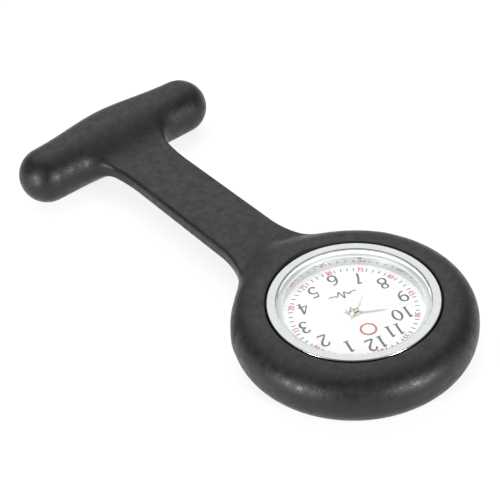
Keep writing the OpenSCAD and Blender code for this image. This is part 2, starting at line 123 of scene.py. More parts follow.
# sizes are the widths of noise features in mm; ranges are the noise values between which a change happens
siliconeLook = {"dark": (0.004, 0.004, 0.0043, 1), "pale": (0.009, 0.009, 0.0093, 1),
                "dust": (0.06, 0.06, 0.061, 1), "gloss": 0.32, "dull": 0.26,
                "patchSize": 7, "mottleSize": 1.3, "grainSize": 0.25, "speckSize": 0.32,
                "patchRange": (0.35, 0.7), "mottleRange": (0.35, 0.65), "speckRange": (0.7, 0.76),
                "dustyRange": (0.45, 0.6), "grain": 0.25, "bump": 0.5, "depth": 0.14,
                "ior": 1.45, "sheen": 0.15, "sheenRough": 0.3}


def siliconeSurface(start):
    # patchy black with fine dust specks, and a mottled gloss
    look = siliconeLook
    place = onObject(start)
    patch = cloudy(start, place, look["patchSize"], 4, 0.6)
    mottle = cloudy(start, place, look["mottleSize"], 5, 0.7)
    grain = cloudy(start, place, look["grainSize"], 2, 0.6)
    specks = between(start, cloudy(start, place, look["speckSize"], 1, 0.5), *look["speckRange"])
    colour = mixColour(start, between(start, patch, *look["patchRange"]), look["dark"], look["pale"])
    dusty = specks * between(start, patch, *look["dustyRange"])
    colour = mixColour(start, dusty, colour, look["dust"])
    rough = look["gloss"] + look["dull"] * between(start, mottle, *look["mottleRange"])
    normal = bumpy(start, grain * look["grain"] + mottle, look["bump"], look["depth"])
    return start.add("BsdfPrincipled", {}, {
        "Base Color": colour, "Roughness": rough, "Normal": normal, "IOR": look["ior"],
        "Sheen Weight": look["sheen"], "Sheen Roughness": look["sheenRough"]})


# patches are wider than the scratches or grain by a factor; darkest is the share of colour left in them
metalLook = {"patch": 6, "darkest": 0.93, "tintRange": (0.3, 0.7), "wearRange": (0.35, 0.75), "depth": 0.01}
spunLook = {"smearSize": 4, "darkest": 0.85, "tintRange": (0.35, 0.65), "rough": 0.12, "depth": 0.01}
paintLook = {"patch": 8, "tintRange": (0.3, 0.7), "rough": 0.08, "depth": 0.02}


def polishedMetal(colour, rough, scratch, size, stretch=(1, 1, 1), grain=0.0):
    # scratch adds roughness and grain adds bump, in features about size mm wide
    def surface(start):
        look = metalLook
        place = onObject(start, stretch)
        smear = between(start, cloudy(start, place, size * look["patch"], 3, 0.6), *look["tintRange"])
        lines = cloudy(start, place, size, 2, 0.5)
        values = {"Base Color": mixColour(start, smear, darker(colour, look["darkest"]), colour),
                  "Roughness": rough + scratch * between(start, lines, *look["wearRange"]), "Metallic": 1.0}
        if grain:
            values["Normal"] = bumpy(start, lines, grain, look["depth"])
        return start.add("BsdfPrincipled", {}, values)
    return surface


def spunMetal(colour, rough, width, strength):
    # lathe-turned lines round the dial's axis
    def surface(start):
        look = spunLook
        place = onObject(start)
        across = start.add("VectorMath", {"operation": "MULTIPLY"}, {0: place, 1: (1, 1, 0)})
        radius = start.add("VectorMath", {"operation": "LENGTH"}, {0: across}, out="Value")
        rings = start.add("TexNoise", {"noise_dimensions": "1D"},
                          {"W": radius, "Scale": 1 / (width * mm), "Detail": 2.0})
        smear = cloudy(start, place, look["smearSize"], 3, 0.6)
        mask = between(start, smear * 0.5 + rings * 0.5, *look["tintRange"])
        return start.add("BsdfPrincipled", {}, {
            "Base Color": mixColour(start, mask, darker(colour, look["darkest"]), colour),
            "Roughness": rough + look["rough"] * rings, "Metallic": 1.0,
            "Normal": bumpy(start, rings, strength, look["depth"])})
    return surface


def paint(colour, rough, size=0.6, change=0.1, grain=0.05, coat=0.0):
    # change is the share of colour lost in the dull patches
    def surface(start):
        look = paintLook
        place = onObject(start)
        patch = between(start, cloudy(start, place, size * look["patch"], 3, 0.5), *look["tintRange"])
        fine = cloudy(start, place, size, 2, 0.5)
        return start.add("BsdfPrincipled", {}, {
            "Base Color": mixColour(start, patch, darker(colour, 1 - change), colour),
            "Roughness": rough + look["rough"] * fine, "Coat Weight": coat,
            "Normal": bumpy(start, fine, grain, look["depth"])})
    return surface


glassLook = {"tint": (0.985, 0.994, 0.991, 1), "haze": 0.01, "hazeSize": 3, "hazeRange": (0.4, 0.8),
             "ior": 1.02, "polish": 0.02, "coatIor": 1.5}


def glassSurface(start):
    # light goes straight through the thin flat crystal; the coat gives the reflections of real glass
    look = glassLook
    haze = between(start, cloudy(start, onObject(start), look["hazeSize"], 3, 0.6), *look["hazeRange"])
    clear = start.add("BsdfPrincipled", {}, {
        "Base Color": look["tint"], "Roughness": look["haze"] * haze, "IOR": look["ior"],
        "Transmission Weight": 1.0, "Coat Weight": 1.0, "Coat Roughness": look["polish"],
        "Coat IOR": look["coatIor"]})
    bare = start.add("BsdfTransparent", {}, {"Color": look["tint"]})
    shade = start.add("LightPath", out="Is Shadow Ray")
    return start.add("MixShader", {}, {0: shade, 1: clear, 2: bare})


surfaces = {
    "silicone": siliconeSurface,
    "bright_steel": polishedMetal((0.8, 0.81, 0.82, 1), 0.14, 0.1, 0.3, grain=0.1),
    "brushed": polishedMetal((0.66, 0.665, 0.675, 1), 0.36, 0.16, 0.12, (0.06, 1, 1), 0.5),
    "back": spunMetal((0.62, 0.625, 0.635, 1), 0.24, 0.12, 0.6),
    "steel": polishedMetal((0.62, 0.63, 0.64, 1), 0.26, 0.14, 0.2, grain=0.2),
    "bezel": polishedMetal((0.52, 0.523, 0.53, 1), 0.15, 0.12, 0.2),
    "wall": polishedMetal((0.66, 0.665, 0.67, 1), 0.03, 0.0, 2),
    "glass": glassSurface,
    "nylon": paint((0.84, 0.87, 0.86, 1), 0.4),
    "seal": paint((0.02, 0.02, 0.02, 1), 0.5),
    "dial_paint": paint((0.76, 0.76, 0.76, 1), 0.3, 0.5, 0.02, 0.02, 0.5),
    "hands": polishedMetal((0.74, 0.73, 0.71, 1), 0.16, 0.1, 0.2),
    "plate_metal": polishedMetal((0.62, 0.59, 0.52, 1), 0.34, 0.12, 0.12, grain=0.3),
    "brass": polishedMetal((0.8, 0.6, 0.26, 1), 0.24, 0.14, 0.12, grain=0.2),
    "copper": polishedMetal((0.72, 0.3, 0.12, 1), 0.3, 0.1, 0.1, (1, 30, 30), 0.5),
    "board": paint((0.03, 0.16, 0.07, 1), 0.3, 0.3, 0.4),
    "epoxy": paint((0.02, 0.02, 0.022, 1), 0.45, 0.2, 0.3, 0.2),
    "magnet": polishedMetal((0.28, 0.28, 0.3, 1), 0.4, 0.2, 0.1, grain=0.3),
    "ink": paint((0.02, 0.02, 0.022, 1), 0.45, 0.3, 0.2),
    "redInk": paint((0.55, 0.03, 0.04, 1), 0.45, 0.3, 0.2),
}
looks = {name: makeLook(name, surface) for name, surface in surfaces.items()}
# nodes whose finish differs from the others in their slot
ownLook = {"pin_base": "brushed", "catch_housing": "brushed"}
for part in record["subparts"]:
    slots = frame["nodes"][part["node"]].data.materials
    slots.clear()
    slots.append(looks[ownLook.get(part["node"], part["material_slot"])])
print("finishes made:", len(looks))


def placed(piece, slot, body, *nodes, look=None):
    bpy.context.scene.collection.objects.link(piece)
    piece.data.materials.clear()
    piece.data.materials.append(looks[look or slot])
    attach(piece, body)
    if nodes:
        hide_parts(*nodes)
    return piece


def newPiece(name, shape, slot, body, *nodes, look=None):
    shape.normal_update()
    mesh = bpy.data.meshes.new(name)
    shape.to_mesh(mesh)
    shape.free()
    return placed(bpy.data.objects.new(name, mesh), slot, body, *nodes, look=look)


def smoothEdges(piece, angle):
    for face in piece.data.polygons:
        face.use_smooth = True
    piece.data.set_sharp_from_angle(angle=math.radians(angle))


def outline(points, rounds=None, steps=0):
    # a flat face in the XZ plane from (x, z) points in mm; rounds gives corner number: radius
    shape = bmesh.new()
    corners = [shape.verts.new((x * mm, 0, z * mm)) for x, z in points]
    shape.faces.new(corners)
    for corner, radius in (rounds or {}).items():
        bmesh.ops.bevel(shape, geom=[corners[corner]], offset=radius * mm, offset_type="OFFSET",
                        affect="VERTICES", segments=steps, profile=0.5, material=-1)
    return shape


def spun(shape, steps, axis=(0, 0, 1)):
    # turns a flat outline all the way round an axis
    bmesh.ops.delete(shape, geom=list(shape.faces), context="FACES_ONLY")
    bmesh.ops.spin(shape, geom=list(shape.verts) + list(shape.edges), cent=(0, 0, 0), axis=axis,
                   angle=2 * math.pi, steps=steps, use_merge=True)
    bmesh.ops.remove_doubles(shape, verts=list(shape.verts), dist=0.0005 * mm)
    bmesh.ops.recalc_face_normals(shape, faces=list(shape.faces))
    return shape


def block(low, high, edge):
    # a box between two corners, with rounded edges
    shape = bmesh.new()
    made = bmesh.ops.create_cube(shape, size=1)["verts"]
    bmesh.ops.scale(shape, vec=(Vector(high) - Vector(low)) * mm, verts=made)
    bmesh.ops.translate(shape, vec=(Vector(high) + Vector(low)) * 0.5 * mm, verts=made)
    bmesh.ops.bevel(shape, geom=list(shape.edges), offset=edge * mm, affect="EDGES", segments=3,
                    profile=0.5, material=-1)
    return shape


def join(shape, other):
    mesh = bpy.data.meshes.new("part")
    other.to_mesh(mesh)
    other.free()
    shape.from_mesh(mesh)
    bpy.data.meshes.remove(mesh)


def openAxis(shape, place=0):
    # takes away the edges that lie on the spin axis, where the coordinate numbered place is nought
    edges = [edge for edge in shape.edges if max(abs(v.co[place]) for v in edge.verts) < 0.0001 * mm]
    bmesh.ops.delete(shape, geom=edges, context="EDGES")


def loose(name, shape):
    # a helper object, which no body carries
    mesh = bpy.data.meshes.new(name)
    shape.to_mesh(mesh)
    shape.free()
    made = bpy.data.objects.new(name, mesh)
    bpy.context.scene.collection.objects.link(made)
    return made


def bake(piece):
    # the modifiers' result becomes the piece's own mesh
    bpy.context.view_layer.update()
    seen = piece.evaluated_get(bpy.context.evaluated_depsgraph_get())
    mesh = bpy.data.meshes.new_from_object(seen)
    piece.modifiers.clear()
    piece.data = mesh


def cutAway(piece, *shapes):
    for shape in shapes:
        tool = loose("tool", shape)
        cut = piece.modifiers.new("cut", "BOOLEAN")
        cut.operation = "DIFFERENCE"
        cut.solver = "EXACT"
        cut.object = tool
        bake(piece)
        bpy.data.objects.remove(tool)


holder = {
    # ring: radius where its round section starts, half width and height, fullness of the section
    "ringRadius": 13.4, "halfWidth": 5.3, "halfHeight": 4.42, "bend": 2.41,
    # strap: half width, middle height, thickness, edge radius, ends, and how much it widens per mm
    "strapHalf": 5.2, "strapMiddle": 4.8, "strapThick": 2.6, "strapEdge": 0.75, "strapEnds": (10, 62),
    "taper": 0.0066, "taperFrom": 40,
    # flares: where each starts, how much it widens after one step, and the step's length
    "flareRing": (25.9, 3.48, 10), "flareBar": (48.3, 0.38, 5),
    # cross bar with a bulge behind
    "barY": 62.38, "barRadius": 4.68, "barHalf": 18.84, "bulge": 1.76, "bulgeHalf": 7.6,
    # widths of the soft joins, which are broader on top in the middle of the strap
    "ringBlend": 2.3, "ringValley": 5.0, "barBlend": 3.3, "barValley": 4.6,
    "valleyHalf": 4.4, "valleyLow": 3, "valleyRise": 3,
    # rough bodies to settle on the skin, the strap's as (half width, start, end), and the voxel sizes
    "ringRound": 4.2, "barRound": 4.6, "strapRound": 0.6, "coarse": 0.4, "fine": 0.27,
    "strapSteps": ((5.2, 10, 60), (7.6, 10, 18.2), (6.4, 12, 20.6), (5.8, 54, 60), (6.6, 56, 60)),
    # pocket for the watch head, with a rounded mouth as shares of its width
    "pocket": 13.3, "pocketLow": 12.0, "shelf": 6.5, "lip": 10.0, "lipTop": 0.9, "lipEdge": 0.3,
    "mouth": 0.28, "mouthCurve": ((0, -1), (0.12, -0.4), (0.42, -0.1)), "mouthOver": 0.04,
    # room for the crown, and the slot for the brooch, as two corners and an edge radius
    "relief": ((11, -2.1, 1.7), (14.4, 2.1, 6.5), 0.2),
    "slot": ((-14, 60.2, -2), (14, 64.2, 4.6), 0.25),
}


def softMin(first, second, blend):
    share = np.clip(0.5 + 0.5 * (second - first) / blend, 0, 1)
    return second * (1 - share) + first * share - blend * share * (1 - share)


def ringSkin(x, y, z):
    across = np.maximum(np.hypot(x, y) - holder["ringRadius"], 0) / holder["halfWidth"]
    up = np.abs(z - holder["halfHeight"]) / holder["halfHeight"]
    swell = (across ** holder["bend"] + up ** holder["bend"]) ** (1 / holder["bend"])
    return (swell - 1) * (holder["halfWidth"] + holder["halfHeight"]) / 2


def strapSkin(x, y, z):
    (ringStart, ringWider, ringStep), (barStart, barWider, barStep) = holder["flareRing"], holder["flareBar"]
    start, end = holder["strapEnds"]
    edge = holder["strapEdge"]
    half = holder["strapHalf"] + holder["taper"] * (holder["taperFrom"] - y)
    half = half + ringWider * (np.maximum(ringStart - y, 0) / ringStep) ** 2
    half = half + barWider * (np.maximum(y - barStart, 0) / barStep) ** 2
    sides = np.stack((np.abs(x) - half + edge,
                      np.abs(z - holder["strapMiddle"]) - holder["strapThick"] / 2 + edge,
                      np.abs(y - (start + end) / 2) - (end - start) / 2))
    return np.linalg.norm(np.maximum(sides, 0), axis=0) + np.minimum(sides.max(axis=0), 0) - edge


def barSkin(x, y, z):
    bulge = holder["bulge"] * 0.5 ** ((x / holder["bulgeHalf"]) ** 2)
    behind = y - holder["barY"]
    behind = np.where(behind > 0, np.maximum(behind - bulge, 0), behind)
    past = np.maximum(np.abs(x) - holder["barHalf"] + holder["barRadius"], 0)
    return np.sqrt(past ** 2 + behind ** 2 + (z - holder["barRadius"]) ** 2) - holder["barRadius"]


def holderSkin(spots):
    # how far outside the holder each spot lies, nearly, with soft joins between ring, strap and bar
    x, y, z = spots.T
    valley = np.exp(-(x / holder["valleyHalf"]) ** 2)
    valley = valley * np.clip((z - holder["valleyLow"]) / holder["valleyRise"], 0, 1)
    ringBlend = holder["ringBlend"] + (holder["ringValley"] - holder["ringBlend"]) * valley
    barBlend = holder["barBlend"] + (holder["barValley"] - holder["barBlend"]) * valley
    body = softMin(ringSkin(x, y, z), strapSkin(x, y, z), ringBlend)
    return softMin(body, barSkin(x, y, z), barBlend)


def settle(piece, rounds=8, probe=0.01, reach=0.6, flattest=0.25):
    # moves every vertex onto the holder's skin along its slope; probe and reach are in mm
    spots = np.empty(len(piece.data.vertices) * 3)
    piece.data.vertices.foreach_get("co", spots)
    spots = spots.reshape(-1, 3) / mm
    for turn in range(rounds):
        off = holderSkin(spots)
        slope = np.stack([holderSkin(spots + step) - off for step in np.eye(3) * probe], axis=1) / probe
        move = off / np.maximum((slope ** 2).sum(axis=1), flattest)
        spots -= np.clip(move, -reach, reach)[:, None] * slope
    piece.data.vertices.foreach_set("co", (spots * mm).ravel())
    piece.data.update()


def voxelled(piece, size):
    remesh = piece.modifiers.new("remesh", "REMESH")
    remesh.mode = "VOXEL"
    remesh.voxel_size = size * mm
    bake(piece)


def ringBlank():
    reach, tall = holder["ringRadius"] + holder["halfWidth"], 2 * holder["halfHeight"]
    edge = holder["ringRound"]
    shape = outline([(0, 0), (reach, 0), (reach, tall), (0, tall)], {1: edge, 2: edge}, 8)
    openAxis(shape)
    return spun(shape, 128)


def strapBlank():
    low = holder["strapMiddle"] - holder["strapThick"] / 2
    high = low + holder["strapThick"]
    shape = bmesh.new()
    for half, start, end in holder["strapSteps"]:
        join(shape, block((-half, start, low), (half, end, high), holder["strapRound"]))
    return shape


def barBlank():
    radius, half, edge = holder["barRadius"], holder["barHalf"], holder["barRound"]
    shape = outline([(-half, 0), (half, 0), (half, radius), (-half, radius)], {2: edge, 3: edge}, 10)
    openAxis(shape, 2)
    spun(shape, 96, (1, 0, 0))
    bmesh.ops.translate(shape, vec=Vector((0, holder["barY"], radius)) * mm, verts=list(shape.verts))
    return shape


def pocketCutter():
    # from the hole in the lip up to the rounded mouth, and 1 mm past the ring on both sides
    pocket, inner, shelf = holder["pocket"], holder["pocketLow"], holder["shelf"]
    lip, lipTop, lipEdge = holder["lip"], holder["lipTop"], holder["lipEdge"]
    mouth, top = holder["mouth"], 2 * holder["halfHeight"]
    curve = [(pocket + out * mouth, top + up * mouth) for out, up in holder["mouthCurve"]]
    shape = outline([(0, -1), (lip + lipEdge, -1), (lip + lipEdge, 0.0), (lip, lipEdge), (lip, lipTop),
                     (inner, lipTop), (inner, shelf), (pocket, shelf)] + curve +
                    [(pocket + mouth, top + holder["mouthOver"]), (pocket + mouth, top + 1), (0, top + 1)])
    openAxis(shape)
    return spun(shape, 256)


def reliefCutter():
    shape = block(*holder["relief"])
    turn = Matrix.Rotation(headTurn, 3, "Z")
    bmesh.ops.rotate(shape, cent=(0, 0, 0), matrix=turn, verts=list(shape.verts))
    return shape


def makeHolder():
    shape = bmesh.new()
    for blank in (ringBlank(), strapBlank(), barBlank()):
        join(shape, blank)
    solid = loose("holderBody", shape)
    for size in (holder["coarse"], holder["fine"]):
        voxelled(solid, size)
        settle(solid)
    cutAway(solid, pocketCutter(), reliefCutter(), block(*holder["slot"]))
    mesh = solid.data
    bpy.data.objects.remove(solid)
    piece = placed(bpy.data.objects.new("holderSkin", mesh), "silicone", "holder", "silicone_holder")
    smoothEdges(piece, 50)


makeHolder()
print("holder made")

# radii and heights; lead is the small slope round the crystal's hole
bezel = {"outer": 13.06, "bore": 11.65, "inner": 10.95, "case": 11.77, "low": 6.6, "caseTop": 7.5,
         "seat": 7.85, "top": 8.9, "edge": 0.22, "foot": 0.15, "lead": (0.07, 0.08)}


def makeBezel():
    outer, bore, inner, case = (bezel[key] for key in ("outer", "bore", "inner", "case"))
    low, caseTop, seat, top = (bezel[key] for key in ("low", "caseTop", "seat", "top"))
    leadOut, leadDown = bezel["lead"]
    shape = outline([(case, low), (outer, low), (outer, top), (bore + leadOut, top), (bore, top - leadDown),
                     (bore, seat), (inner, seat), (inner, caseTop), (case, caseTop)],
                    {1: bezel["foot"], 2: bezel["edge"]}, 6)
    smoothEdges(newPiece("bezelRing", spun(shape, 360), "bezel", "head", "bezel"), 40)


# radii and heights from the middle outwards; pairs are steps outwards and in height, or two radii
caseBack = {"middle": 0.62, "field": 8.7, "step": 0.78, "fieldEdge": (0.1, 0.06), "fieldEnd": 0.14,
            "groove": 9.1, "grooveFloor": 0.98, "grooveEdge": (0.08, 0.06),
            "rim": (9.35, 9.8), "rimProud": 0.1, "rimEdge": 0.08, "low": 0.95, "high": 1.55, "out": 11.7,
            "chamfer": (0.3, 0.25), "skirt": (9.9, 10.4), "skirtTop": 2.0,
            "rings": (0, 0.2, 0.4, 0.6, 0.8, 0.93, 1)}


def makeCaseBack():
    # shallow dome, turned groove, flat rim held by the holder's lip, and a skirt inside the case
    field, step, floor = caseBack["field"], caseBack["step"], caseBack["grooveFloor"]
    low, high, out = caseBack["low"], caseBack["high"], caseBack["out"]
    (edgeOut, edgeUp), (grooveOut, grooveDown) = caseBack["fieldEdge"], caseBack["grooveEdge"]
    (rimIn, rimOut), proud = caseBack["rim"], low - caseBack["rimProud"]
    (chamferIn, chamferUp), (skirtIn, skirtOut) = caseBack["chamfer"], caseBack["skirt"]
    rise = step - caseBack["middle"]
    bend = (field ** 2 + rise ** 2) / (2 * rise)
    dome = [(field * part, caseBack["middle"] + bend - math.sqrt(bend ** 2 - (field * part) ** 2))
            for part in caseBack["rings"]]
    shape = outline(dome + [
        (field + edgeOut, step + edgeUp), (field + caseBack["fieldEnd"], floor), (caseBack["groove"], floor),
        (caseBack["groove"] + grooveOut, low - grooveDown), (rimIn, proud), (rimOut, proud),
        (rimOut + caseBack["rimEdge"], low), (out - chamferIn, low), (out, low + chamferUp), (out, high),
        (skirtOut, high), (skirtOut, caseBack["skirtTop"]), (skirtIn, caseBack["skirtTop"]), (skirtIn, high),
        (0, high)])
    openAxis(shape)
    piece = newPiece("caseBackDisc", spun(shape, 256), "steel", "head", "case_back", look="back")
    smoothEdges(piece, 30)


crystal = {"edge": 0.1}


def makeCrystal():
    low, high = (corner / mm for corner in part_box("crystal"))
    radius, edge = high.x, crystal["edge"]
    shape = outline([(0, low.z), (radius, low.z), (radius, high.z - edge), (radius - edge, high.z),
                     (0, high.z)])
    openAxis(shape)
    smoothEdges(newPiece("crystalDisc", spun(shape, 256), "glass", "head", "crystal"), 20)


wall = {"inner": 10.7, "edge": 0.05}


def makeWall():
    # polished wall between dial and crystal
    low, high = (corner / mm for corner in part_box("rehaut_ring"))
    inner, outer = wall["inner"], high.x
    shape = outline([(inner, low.z), (outer, low.z), (outer, high.z), (inner, high.z)], {3: wall["edge"]}, 3)
    smoothEdges(newPiece("dialWall", spun(shape, 360), "bezel", "head", "rehaut_ring", look="wall"), 40)


seal = {"inner": 10.8, "outer": 11.63, "crystal": 11.53, "low": 7.85, "step": 7.97, "top": 8.6}


def makeSeal():
    # under and round the crystal
    inner, outer, crystalOut = seal["inner"], seal["outer"], seal["crystal"]
    low, step, top = seal["low"], seal["step"], seal["top"]
    shape = outline([(inner, low), (outer, low), (outer, top), (crystalOut, top), (crystalOut, step),
                     (inner, step)])
    newPiece("crystalSeal", spun(shape, 256), "nylon", "head", "crystal_gasket")


makeBezel()
makeCaseBack()
makeCrystal()
makeWall()
makeSeal()
print("case and crystal made")

# the dial's print: heights, radii and pen widths in mm; gap is between digits, as a share of their height
printing = {"height": 6.4, "thick": 0.02, "gap": 0.14,
            "hourReach": 8.62, "hourTall": 2.35, "hourWide": 1.14, "hourPen": 0.37, "inward": 0.4,
            "minuteRadius": 9.5, "minuteTall": 0.85, "minuteWide": 0.95, "minutePen": 0.2,
            "dashIn": 9.15, "dashOut": 9.85, "dashWide": 0.17}
# each digit: its width, and strokes of (x, y, pen) on a body one unit tall
digits = {
    "0": (0.56, [[(0.28, 1, 0.6), (0.48, 0.74, 1), (0.48, 0.26, 1), (0.28, 0, 0.6), (0.08, 0.26, 1),
                  (0.08, 0.74, 1), (0.28, 1, 0.6)]]),
    "1": (0.4, [[(0.2, 0, 1), (0.2, 1, 1)], [(0.2, 0.99, 0.7), (0.04, 0.86, 0.5)],
                [(0.04, 0, 0.5), (0.36, 0, 0.5)]]),
    "2": (0.56, [[(0.07, 0.75, 0.8), (0.12, 0.92, 0.7), (0.28, 1, 0.7), (0.45, 0.88, 1), (0.44, 0.66, 1),
                  (0.26, 0.35, 0.8), (0.05, 0.03, 0.6)], [(0.05, 0.02, 0.8), (0.5, 0.02, 0.8)],
                 [(0.5, 0.02, 0.5), (0.53, 0.15, 0.4)]]),
    "3": (0.54, [[(0.06, 0.84, 0.8), (0.24, 1, 0.7), (0.43, 0.86, 1), (0.38, 0.63, 1), (0.2, 0.54, 0.6)],
                 [(0.2, 0.54, 0.6), (0.42, 0.46, 1), (0.46, 0.2, 1), (0.26, 0, 0.7), (0.04, 0.14, 0.9)]]),
    "4": (0.58, [[(0.4, 0, 1), (0.4, 1, 1)], [(0.4, 0.98, 0.6), (0.03, 0.3, 0.6)],
                 [(0.03, 0.3, 0.7), (0.56, 0.3, 0.7)], [(0.27, 0, 0.5), (0.53, 0, 0.5)]]),
    "5": (0.54, [[(0.12, 0.97, 0.9), (0.46, 0.97, 0.9)], [(0.12, 0.97, 0.6), (0.09, 0.56, 0.6)],
                 [(0.09, 0.55, 0.6), (0.26, 0.62, 0.7), (0.45, 0.48, 1), (0.45, 0.18, 1), (0.24, 0, 0.7),
                  (0.04, 0.12, 0.9)]]),
    "6": (0.56, [[(0.45, 0.95, 0.7), (0.2, 0.82, 0.8), (0.07, 0.45, 1), (0.11, 0.12, 1), (0.29, 0, 0.7),
                  (0.48, 0.14, 1), (0.47, 0.44, 1), (0.3, 0.56, 0.7), (0.11, 0.42, 0.7)]]),
    "7": (0.54, [[(0.05, 0.97, 0.9), (0.5, 0.97, 0.9)], [(0.05, 0.97, 0.5), (0.04, 0.8, 0.5)],
                 [(0.5, 0.97, 0.8), (0.3, 0.5, 1), (0.21, 0, 1)]]),
    "8": (0.56, [[(0.28, 1, 0.7), (0.44, 0.88, 0.9), (0.41, 0.65, 0.9), (0.28, 0.54, 0.9), (0.15, 0.65, 0.9),
                  (0.12, 0.88, 0.9), (0.28, 1, 0.7)],
                 [(0.28, 0.54, 0.9), (0.47, 0.4, 1), (0.46, 0.1, 1), (0.28, 0, 0.7), (0.1, 0.1, 1),
                  (0.09, 0.4, 1), (0.28, 0.54, 0.9)]]),
}
# nine is six upside down
sixWidth, sixStrokes = digits["6"]
digits["9"] = (sixWidth, [[(sixWidth - x, 1 - y, pen) for x, y, pen in stroke] for stroke in sixStrokes])


def clockWay(hours):
    # direction on the dial, in radians from +X
    return headTurn + math.radians(90 - 30 * hours)


def numberWidth(text):
    return sum(digits[sign][0] for sign in text) + printing["gap"] * (len(text) - 1)


def writeNumber(ink, text, centre, up, tall, wide, pen):
    turn = Matrix.Rotation(up - math.pi / 2, 2)
    left = -numberWidth(text) / 2
    for sign in text:
        width, strokes = digits[sign]
        for stroke in strokes:
            line = ink.splines.new("BEZIER")
            line.bezier_points.add(len(stroke) - 1)
            handles = "AUTO" if len(stroke) > 2 else "VECTOR"
            for point, (x, y, weight) in zip(line.bezier_points, stroke):
                spot = Vector(centre) + turn @ Vector(((left + x) * tall * wide, (y - 0.5) * tall))
                point.co = (spot.x * mm, spot.y * mm, 0)
                point.radius = weight * pen / 2 * mm
                point.handle_left_type = point.handle_right_type = handles
        left += width + printing["gap"]


def newInk(name):
    # a curve that prints lines as wide as the radii of its points
    ink = bpy.data.curves.new(name, "CURVE")
    ink.dimensions = "3D"
    ink.twist_mode = "Z_UP"
    ink.bevel_depth = 1.0
    ink.bevel_resolution = 1
    ink.resolution_u = 5
    ink.use_fill_caps = True
    return ink


def printed(name, ink, look):
    # the curve as a mesh, flattened on the dial to the thickness of print
    drawn = bpy.data.objects.new(name + "Lines", ink)
    bpy.context.scene.collection.objects.link(drawn)
    bpy.context.view_layer.update()
    mesh = bpy.data.meshes.new_from_object(drawn.evaluated_get(bpy.context.evaluated_depsgraph_get()))
    bpy.data.objects.remove(drawn)
    radius = max(abs(v.co.z) for v in mesh.vertices)
    mesh.transform(Matrix.Translation((0, 0, (printing["height"] + printing["thick"] / 2) * mm))
                   @ Matrix.Diagonal((1, 1, printing["thick"] * 0.5 * mm / radius, 1)))
    placed(bpy.data.objects.new(name, mesh), "dial_paint", "head", look=look)


def makeNumerals():
    hours, minutes = newInk("hourNumerals"), newInk("minuteNumerals")
    for hour in range(1, 13):
        way = clockWay(hour)
        angle = math.radians(30 * hour)
        # wide numbers stand further in, so that their outer edges follow one circle
        across = numberWidth(str(hour)) * printing["hourWide"] * abs(math.sin(angle)) + abs(math.cos(angle))
        far = printing["hourReach"] - printing["inward"] * printing["hourTall"] * across
        writeNumber(hours, str(hour), (far * math.cos(way), far * math.sin(way)), clockWay(0),
                    printing["hourTall"], printing["hourWide"], printing["hourPen"])
        far = printing["minuteRadius"]
        writeNumber(minutes, str(hour * 5), (far * math.cos(way), far * math.sin(way)), way,
                    printing["minuteTall"], printing["minuteWide"], printing["minutePen"])
    printed("hourNumerals", hours, "ink")
    printed("minuteNumerals", minutes, "redInk")


def makeDashes():
    # one for each minute between the numbers
    shape = bmesh.new()
    size = (printing["dashOut"] - printing["dashIn"], printing["dashWide"], printing["thick"])
    middle = ((printing["dashIn"] + printing["dashOut"]) / 2, 0, printing["height"] + printing["thick"] / 2)
    for minute in range(60):
        if minute % 5:
            turn = Matrix.Rotation(clockWay(minute / 5), 3, "Z")
            made = bmesh.ops.create_cube(shape, size=1)["verts"]
            bmesh.ops.scale(shape, vec=Vector(size) * mm, verts=made)
            bmesh.ops.translate(shape, vec=Vector(middle) * mm, verts=made)
            bmesh.ops.rotate(shape, cent=(0, 0, 0), matrix=turn, verts=made)
    newPiece("minuteDashes", shape, "dial_paint", "head", look="ink")


ornaments = {"ringRadius": 4.4, "ringHour": 11.86, "ringSize": 1.15, "ringPen": 0.34, "ringPoints": 8,
             "lineRadius": 4.3, "linePen": 0.24,
             "line": [(-2.3, 0), (-1.3, 0), (-1, 0.4), (-0.7, 0), (-0.4, -0.45), (0, 1), (0.4, -0.75),
                      (0.7, 0), (1, 0.35), (1.3, 0), (2.3, 0)]}


def makeRing():
    # a plain red ring below 12
    ink = newInk("redRing")
    way = clockWay(ornaments["ringHour"])
    centre = Vector((math.cos(way), math.sin(way), 0)) * ornaments["ringRadius"]
    line = ink.splines.new("BEZIER")
    line.bezier_points.add(ornaments["ringPoints"] - 1)
    line.use_cyclic_u = True
    for number, point in enumerate(line.bezier_points):
        turn = number * 2 * math.pi / ornaments["ringPoints"]
        point.co = (centre + Vector((math.cos(turn), math.sin(turn), 0)) * ornaments["ringSize"]) * mm
        point.radius = ornaments["ringPen"] / 2 * mm
        point.handle_left_type = point.handle_right_type = "AUTO"
    printed("redRing", ink, "redInk")


def makePulseLine():
    # a small pulse line above 6, each stroke on its own so that all are equally wide
    ink = newInk("pulseLine")
    turn = Matrix.Rotation(clockWay(3), 3, "Z")
    spots = [turn @ Vector((x, y - ornaments["lineRadius"], 0)) * mm for x, y in ornaments["line"]]
    for ends in zip(spots, spots[1:]):
        line = ink.splines.new("POLY")
        line.points.add(1)
        for point, spot in zip(line.points, ends):
            point.co = (spot.x, spot.y, 0, 1)
            point.radius = ornaments["linePen"] / 2 * mm
    printed("pulseLine", ink, "ink")


makeNumerals()
makeDashes()
makeRing()
makePulseLine()
print("dial printed")

